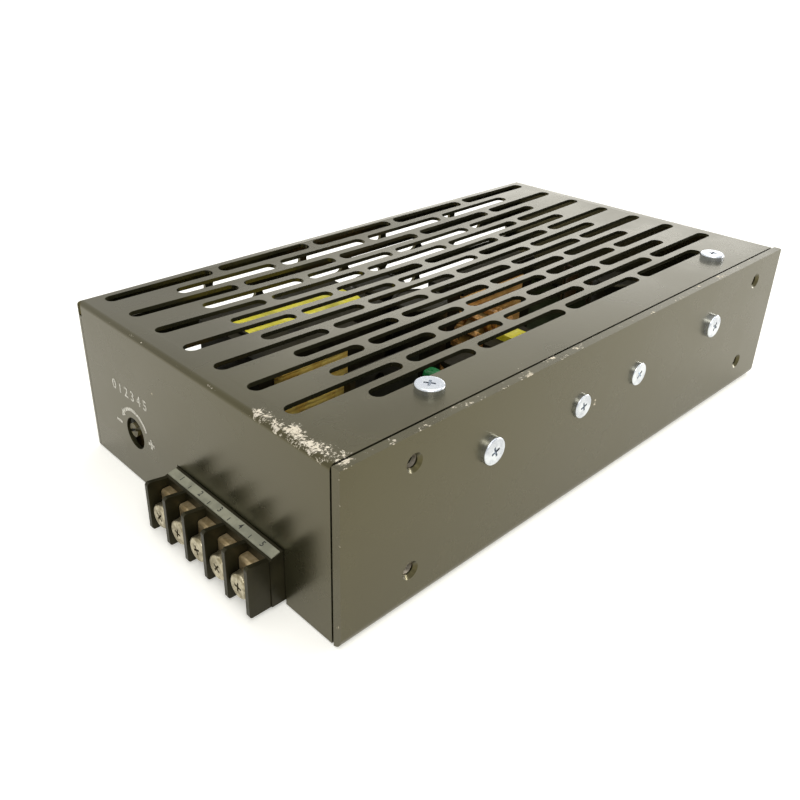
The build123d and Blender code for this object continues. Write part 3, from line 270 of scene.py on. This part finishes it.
def taped_coil(name, colour, shade, ridge_mm, direction, gloss=0.28, edge_dark=0.35):
    """Thin film over turns of wire; direction is the axis across the turns."""
    material, tree, shader, place = start_finish(name)
    wobble = noise(tree, place, 11.0, 3.0)
    split = add(tree, "ShaderNodeSeparateXYZ", [("Vector", place)])
    across = math_node(tree, "MULTIPLY_ADD", wobble, 0.0012, split.outputs[direction])
    wave = math_node(tree, "SINE", math_node(tree, "MULTIPLY", across, 2 * math.pi * 1000 / ridge_mm))
    ridge = math_node(tree, "MULTIPLY_ADD", wave, 0.5, 0.5)
    creases = ramp(tree, noise(tree, place, 4.5, 5.0, 0.65), 0.42, 0.62)
    tint = math_node(tree, "MULTIPLY_ADD", creases, edge_dark, math_node(tree, "MULTIPLY", ridge, 0.18))
    tree.links.new(blend_colour(tree, tint, linear(colour), linear(shade)), shader.inputs["Base Color"])
    tree.links.new(math_node(tree, "MULTIPLY_ADD", creases, 0.2, gloss), shader.inputs["Roughness"])
    height = math_node(tree, "MULTIPLY_ADD", creases, 0.8, math_node(tree, "MULTIPLY", ridge, 0.5))
    set_bump(tree, shader, height, 0.35, 0.5)
    shader.inputs["Coat Weight"].default_value = 0.25
    return material


yellow_tape = taped_coil("yellow_polyester_tape", "#fff23c", "#dccb2a", 2.0, 0, 0.35, 0.25)
amber_tape = taped_coil("amber_polyimide_tape", "#ffe27a", "#cf9a34", 1.3, 2, 0.28, 0.55)
orange_tape = taped_coil("orange_polyester_tape", "#ffc878", "#c98f48", 1.3, 2, 0.3, 0.5)
# copper-coloured wire mottled with darker brown patches, which are painted shade of the gaps between the
# turns
copper_wire_and_gap_shade = plain_finish("enamelled_copper_wire_and_painted_gap_shade", "#e6b066", "#8f6430", 0.35, 1.6, 0.5, 0.05,
                             0.5, 0.2)

glass_tube, glass_tree, glass_shader, glass_place = start_finish("clear_fuse_glass")
glass_shader.inputs["Base Color"].default_value = linear("#dfe6e0")
glass_shader.inputs["Transmission Weight"].default_value = 0.85
glass_shader.inputs["Roughness"].default_value = 0.08
print("finishes:", len(bpy.data.materials))

# %% [markdown]
# Each CAD node keeps its mesh and only changes its material slot. A table from node to finish
# keeps that in one place, and the loop stops with an error at a node it forgot.

# %% Dress the CAD nodes
FINISHES = {
    "chassis": enamel_plate, "cover": enamel_cover, "cover_brackets": steel_sheet,
    "cover_screws": zinc, "bracket_screws": zinc, "device_screws": zinc, "far_wall_screws": zinc,
    "device_nuts": zinc, "board_screws": zinc, "insulating_sheet": black_film,
    "board_standoffs": brass, "circuit_board": board_mask, "terminal_block": phenolic,
    "terminal_plates": tan_nickel, "terminal_label_strip": grey_strip, "trimmer_body": olive_moulding,
    "trimmer_rotor": pale_moulding, "main_transformer_core": ferrite,
    "main_transformer_bobbin": bobbin_black, "main_transformer_coil": orange_tape,
    "line_choke_core": ferrite, "line_choke_bobbin": bobbin_black, "line_choke_coil": amber_tape,
    "output_choke_core": ferrite, "output_choke_bobbin": bobbin_black,
    "output_choke_coil": yellow_tape, "ring_choke_core": iron_ring,
    "ring_choke_winding": copper_wire_and_gap_shade, "driver_transformer_core": ferrite,
    "driver_transformer_coil": yellow_tape, "drum_choke_core": ferrite,
    "drum_choke_winding": copper_wire_and_gap_shade, "bulk_capacitor_1": can_sleeve,
    "bulk_capacitor_2": can_sleeve, "output_capacitor_1": can_sleeve,
    "output_capacitor_2": can_sleeve, "line_capacitor": yellow_box, "orange_capacitor": orange_dip,
    "green_capacitor": green_dip, "rectifier_heatsink": dark_anodise,
    "bridge_rectifier": package_resin, "switching_transistor": package_resin,
    "output_rectifier": package_resin, "device_insulators": silicone_pad, "fuse": glass_tube,
    "fuse_clips": tin, "resistors": resistor_coat, "control_chip": package_resin,
    "transformer_leads": tin,
}
for bay in range(1, 6):
    FINISHES["terminal_screw_%d" % bay] = old_zinc
    FINISHES["terminal_washer_%d" % bay] = old_zinc
for node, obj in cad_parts.items():
    obj.data.materials.clear()
    obj.data.materials.append(FINISHES[node])
print("nodes dressed:", len(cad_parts))

# %% [markdown]
# Printing on the real case is thin white ink that has worn patchy. Here it is a flat mesh a
# few hundredths of a millimetre proud of the paint: an arc with an arrow tip round the
# adjuster's hole, plus and minus signs for its two directions, and a plain row of numbers.

# %% White ink round the adjuster
END_X = -100.0
HOLE = (31.1, 16.1)
INK_PROUD = 0.03


def worn_ink(name, colour, faded):
    """Screen-printed ink that has lost its edge in patches."""
    material, tree, shader, place = start_finish(name)
    patch = ramp(tree, noise(tree, place, 0.8, 5.0, 0.7), 0.40, 0.58)
    tree.links.new(blend_colour(tree, patch, linear(faded), linear(colour)), shader.inputs["Base Color"])
    tree.links.new(math_node(tree, "MULTIPLY_ADD", patch, 0.25, 0.45), shader.inputs["Roughness"])
    return material


white_ink = worn_ink("worn_white_screen_ink", "#e9e6da", "#8d8978")
dark_ink = worn_ink("dark_strip_ink", "#1d1c18", "#3c3b34")


def mesh_piece(name, points, faces, finish, body):
    """A piece from points in mm, riding on a body."""
    mesh = bpy.data.meshes.new(name)
    mesh.from_pydata([Vector(p) * MM for p in points], [], faces)
    mesh.materials.append(finish)
    piece = bpy.data.objects.new(name, mesh)
    bpy.context.scene.collection.objects.link(piece)
    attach(piece, body)
    return piece


def on_end(across, up):
    """A point on the end panel: across runs to the viewer's right, up runs up, in mm."""
    return (END_X - INK_PROUD, HOLE[0] - across, HOLE[1] + up)


ARC_RADIUS, ARC_WIDE, ARC_FROM, ARC_TO, ARC_STEPS = 7.4, 1.1, 25.0, 140.0, 32
points, faces = [], []
for k in range(ARC_STEPS + 1):
    turn = math.radians(ARC_FROM + (ARC_TO - ARC_FROM) * k / ARC_STEPS)
    for reach in (ARC_RADIUS - ARC_WIDE / 2, ARC_RADIUS + ARC_WIDE / 2):
        points.append(on_end(reach * math.cos(turn), reach * math.sin(turn)))
    if k:
        faces.append((2 * k - 2, 2 * k, 2 * k + 1, 2 * k - 1))
TIP_HALF, TIP_LONG = 1.3, 16.0
tip_base, tip = math.radians(ARC_TO), math.radians(ARC_TO + TIP_LONG)
start = len(points)
for reach, angle in ((ARC_RADIUS - TIP_HALF, tip_base), (ARC_RADIUS + TIP_HALF, tip_base), (ARC_RADIUS, tip)):
    points.append(on_end(reach * math.cos(angle), reach * math.sin(angle)))
faces.append((start, start + 2, start + 1))
mesh_piece("adjuster_arc", points, faces, white_ink, "case")

SIGN, STROKE, SIGN_AWAY, SIGN_UP = 3.2, 0.9, 9.0, 0.4


def bar(across, up, wide, high):
    """Corners of a flat bar on the end panel, centred on a point."""
    return [on_end(across + sx * wide / 2, up + sy * high / 2)
            for sx, sy in ((-1, -1), (1, -1), (1, 1), (-1, 1))]


ARM = (SIGN - STROKE) / 2
plus = bar(SIGN_AWAY, SIGN_UP, SIGN, STROKE) + bar(SIGN_AWAY, SIGN_UP + (STROKE + ARM) / 2, STROKE, ARM)
plus += bar(SIGN_AWAY, SIGN_UP - (STROKE + ARM) / 2, STROKE, ARM)
mesh_piece("plus_sign", plus, [(0, 1, 2, 3), (4, 5, 6, 7), (8, 9, 10, 11)], white_ink, "case")
mesh_piece("minus_sign", bar(-SIGN_AWAY, SIGN_UP, SIGN, STROKE), [(0, 1, 2, 3)], white_ink, "case")


def printed_text(name, words, size, place, right, up_way, finish, body):
    """Flat lettering made a mesh and laid at a place, reading along right, in mm."""
    curve = bpy.data.curves.new(name, "FONT")
    curve.body = words
    curve.size = size * MM
    curve.align_x = "CENTER"
    curve.align_y = "CENTER"
    curve.resolution_u = 3
    curve.offset = 0.02 * curve.size
    holder = bpy.data.objects.new(name + "_curve", curve)
    bpy.context.scene.collection.objects.link(holder)
    mesh = bpy.data.meshes.new_from_object(holder.evaluated_get(bpy.context.evaluated_depsgraph_get()))
    bpy.data.objects.remove(holder)
    axis_x, axis_y = Vector(right).normalized(), Vector(up_way).normalized()
    turn = Matrix((axis_x, axis_y, axis_x.cross(axis_y))).transposed().to_4x4()
    mesh.transform(Matrix.Translation(Vector(place) * MM) @ turn)
    mesh.materials.clear()
    mesh.materials.append(finish)
    mesh.name = name
    piece = bpy.data.objects.new(name, mesh)
    bpy.context.scene.collection.objects.link(piece)
    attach(piece, body)
    return piece


NUMBER_SIZE, NUMBERS_AT = 4.4, (-0.7, 12.2)
printed_text("dial_numbers", "0 1 2 3 4 5", NUMBER_SIZE, on_end(*NUMBERS_AT), (0, -1, 0), (0, 0, 1),
             white_ink, "case")
print("ink on the end panel done")

# %% [markdown]
# The marking strip on the terminal block has a short dark tick between each pair of bays.
# Things that repeat in a line are a job for Geometry Nodes: one small bar, a line of points
# and Instance on Points, realised at the end so that the result is a plain mesh.


# %% A Geometry Nodes row
def row_tree(name):
    """Node group: copies the object's own mesh along a line; inputs Count, Step, Finish."""
    tree = bpy.data.node_groups.new(name, "GeometryNodeTree")
    face = tree.interface
    face.new_socket("Geometry", in_out="INPUT", socket_type="NodeSocketGeometry")
    face.new_socket("Count", in_out="INPUT", socket_type="NodeSocketInt")
    face.new_socket("Step", in_out="INPUT", socket_type="NodeSocketVector")
    face.new_socket("Finish", in_out="INPUT", socket_type="NodeSocketMaterial")
    face.new_socket("Geometry", in_out="OUTPUT", socket_type="NodeSocketGeometry")
    given = add(tree, "NodeGroupInput")
    line = add(tree, "GeometryNodeMeshLine", [("Count", given.outputs["Count"]),
                                              ("Offset", given.outputs["Step"])])
    copies = add(tree, "GeometryNodeInstanceOnPoints", [("Points", line.outputs["Mesh"]),
                                                        ("Instance", given.outputs["Geometry"])])
    real = add(tree, "GeometryNodeRealizeInstances", [("Geometry", copies.outputs[0])])
    painted = add(tree, "GeometryNodeSetMaterial", [("Geometry", real.outputs[0]),
                                                    ("Material", given.outputs["Finish"])])
    add(tree, "NodeGroupOutput", [(0, painted.outputs[0])])
    return tree


def grown(name, seed_mesh, tree, values, body):
    """Runs a node tree on a mesh, keeps the result as a plain mesh and lets it ride."""
    holder = bpy.data.objects.new(name + "_seed", seed_mesh)
    bpy.context.scene.collection.objects.link(holder)
    modifier = holder.modifiers.new("grow", "NODES")
    modifier.node_group = tree
    for item in tree.interface.items_tree:
        if item.item_type == "SOCKET" and item.in_out == "INPUT" and item.name in values:
            modifier[item.identifier] = values[item.name]
    mesh = bpy.data.meshes.new_from_object(holder.evaluated_get(bpy.context.evaluated_depsgraph_get()))
    bpy.data.objects.remove(holder)
    mesh.name = name
    piece = bpy.data.objects.new(name, mesh)
    bpy.context.scene.collection.objects.link(piece)
    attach(piece, body)
    print(name, "has", len(mesh.polygons), "faces")
    return piece


row = row_tree("row_of_copies")
BAYS, BAY_PITCH, BLOCK_NEAR, FIN = 5, 8.8, -37.1, 1.3
STRIP_LOW, STRIP_HIGH, STRIP_X, STRIP_WIDE = 15.79, 16.41, -103.2, 2.4
strip_rise = (STRIP_HIGH - STRIP_LOW) / STRIP_WIDE


def on_strip(along, y, lift=0.02):
    """A point on the marking strip's sloping face; along runs up the slope from its front."""
    return (STRIP_X + along, y, STRIP_LOW + along * strip_rise + lift)


tick = bpy.data.meshes.new("tick")
tick_y = BLOCK_NEAR + FIN / 2 + BAY_PITCH
TICK_FROM, TICK_TO, TICK_HALF = 0.2, 1.3, 0.15
tick_corners = ((TICK_FROM, -TICK_HALF), (TICK_FROM, TICK_HALF), (TICK_TO, TICK_HALF), (TICK_TO, -TICK_HALF))
tick.from_pydata([Vector(on_strip(along, tick_y + side)) * MM for along, side in tick_corners],
                 [], [(0, 3, 2, 1)])
tick_values = {"Count": BAYS - 1, "Step": (0, BAY_PITCH * MM, 0), "Finish": dark_ink}
grown("strip_ticks", tick, row, tick_values, "case")
BAY_NUMBER_SIZE = 2.2
for bay in range(1, BAYS + 1):
    y = BLOCK_NEAR + FIN / 2 + (BAYS - bay + 0.5) * BAY_PITCH
    printed_text("bay_number_%d" % bay, str(bay), BAY_NUMBER_SIZE, on_strip(STRIP_WIDE / 2, y), (0, -1, 0),
                 (1, 0, strip_rise), dark_ink, "case")

# %% [markdown]
# The photograph was taken with a wide lens from the terminal end, a little above the case.
# The camera's place and its three directions were worked out from the corners of the case,
# and the small shift keeps the same crop.

# %% Camera
CAMERA_PLACE = Vector((-188.6, -160.9, 142.7)) * MM
LOOK = Vector((0.60833, 0.64532, -0.46205))
RIGHT = Vector((0.73226, -0.68089, 0.01312))
LENS = 37.52
SHIFT = (0.0326, -0.0405)
up = RIGHT.cross(LOOK).normalized()
camera_data = bpy.data.cameras.new("camera")
camera = bpy.data.objects.new("camera", camera_data)
bpy.context.scene.collection.objects.link(camera)
turn = Matrix((RIGHT, up, -LOOK)).transposed()
camera.matrix_world = Matrix.Translation(CAMERA_PLACE) @ turn.to_4x4()
camera_data.lens = LENS
camera_data.shift_x, camera_data.shift_y = SHIFT
camera_data.clip_start = 0.01
bpy.context.scene.camera = camera
print("camera at", [round(v, 4) for v in camera.matrix_world.translation])

# %% [markdown]
# The photograph's background is burnt out to white. The floor and the world show plain white
# to the camera and in reflections, while the lamps stay at a level where a colour renders
# about as it is written.


# %% Floor, world and lamps
def soft_lamp(name, place, target, size, power):
    """A square area lamp aimed at a point, all in metres."""
    data = bpy.data.lights.new(name, "AREA")
    data.shape = "RECTANGLE"
    data.size, data.size_y = size
    data.energy = power
    lamp = bpy.data.objects.new(name, data)
    bpy.context.scene.collection.objects.link(lamp)
    aim = (Vector(target) - Vector(place)).to_track_quat("-Z", "Y")
    lamp.matrix_world = Matrix.Translation(place) @ aim.to_matrix().to_4x4()
    return lamp


floor_mesh = bpy.data.meshes.new("floor")
REACH = 3.0
corners = [(-REACH, -REACH, 0), (REACH, -REACH, 0), (REACH, REACH, 0), (-REACH, REACH, 0)]
floor_mesh.from_pydata([(x, y, -0.0002) for x, y, z in corners], [], [(0, 1, 2, 3)])
floor = bpy.data.objects.new("floor", floor_mesh)
bpy.context.scene.collection.objects.link(floor)
floor_finish, floor_tree, floor_shader, floor_place = start_finish("white_paper_floor")
floor_shader.inputs["Base Color"].default_value = linear("#f4f2ec")
floor_shader.inputs["Roughness"].default_value = 0.9
floor_shader.inputs["Specular IOR Level"].default_value = 0.1
path = add(floor_tree, "ShaderNodeLightPath")
seen = math_node(floor_tree, "MAXIMUM", path.outputs["Is Camera Ray"], path.outputs["Is Glossy Ray"])
# the lamps light only the middle of the floor, so it glows more towards its edge
away = add(floor_tree, "ShaderNodeVectorMath", [(0, floor_place)], operation="LENGTH").outputs["Value"]
level = math_node(floor_tree, "MULTIPLY_ADD", ramp(floor_tree, away, 0.5, 1.6), 0.26, 0.34)
glow_level = math_node(floor_tree, "MULTIPLY", seen, level)
glow = add(floor_tree, "ShaderNodeEmission", [("Color", linear("#fffff8")),
                                              ("Strength", glow_level)])
both = add(floor_tree, "ShaderNodeAddShader", [(0, floor_shader.outputs[0]), (1, glow.outputs[0])])
floor_tree.links.new(both.outputs[0], floor_tree.nodes["Material Output"].inputs["Surface"])
floor_mesh.materials.append(floor_finish)

world = bpy.data.worlds.new("studio")
bpy.context.scene.world = world
world.use_nodes = True
world_tree = world.node_tree
world_path = add(world_tree, "ShaderNodeLightPath")
shown = math_node(world_tree, "MAXIMUM", world_path.outputs["Is Camera Ray"],
                  world_path.outputs["Is Glossy Ray"])
shown = math_node(world_tree, "MAXIMUM", shown, world_path.outputs["Is Transmission Ray"])
background = world_tree.nodes["Background"]
background.inputs["Color"].default_value = linear("#ffffff")
# half strength lights the object, and full strength is what the eye and the gloss see
world_level = math_node(world_tree, "MULTIPLY_ADD", shown, 0.5, 0.5)
world_tree.links.new(world_level, background.inputs["Strength"])

soft_lamp("overhead", (0.2, 0.0, 0.9), (0, 0, 0), (0.9, 0.9), 4.0)
soft_lamp("front_left", (-0.45, -0.6, 0.85), (0, 0, 0.02), (0.5, 0.5), 5.0)
soft_lamp("behind_right", (0.95, 0.7, 0.32), (0, 0, 0.03), (0.9, 0.35), 2.0)
soft_lamp("low_right", (0.8, -0.35, 0.14), (0.08, -0.05, 0.02), (0.5, 0.2), 3.5)
bpy.context.scene.view_settings.view_transform = "Standard"
print("stage set")
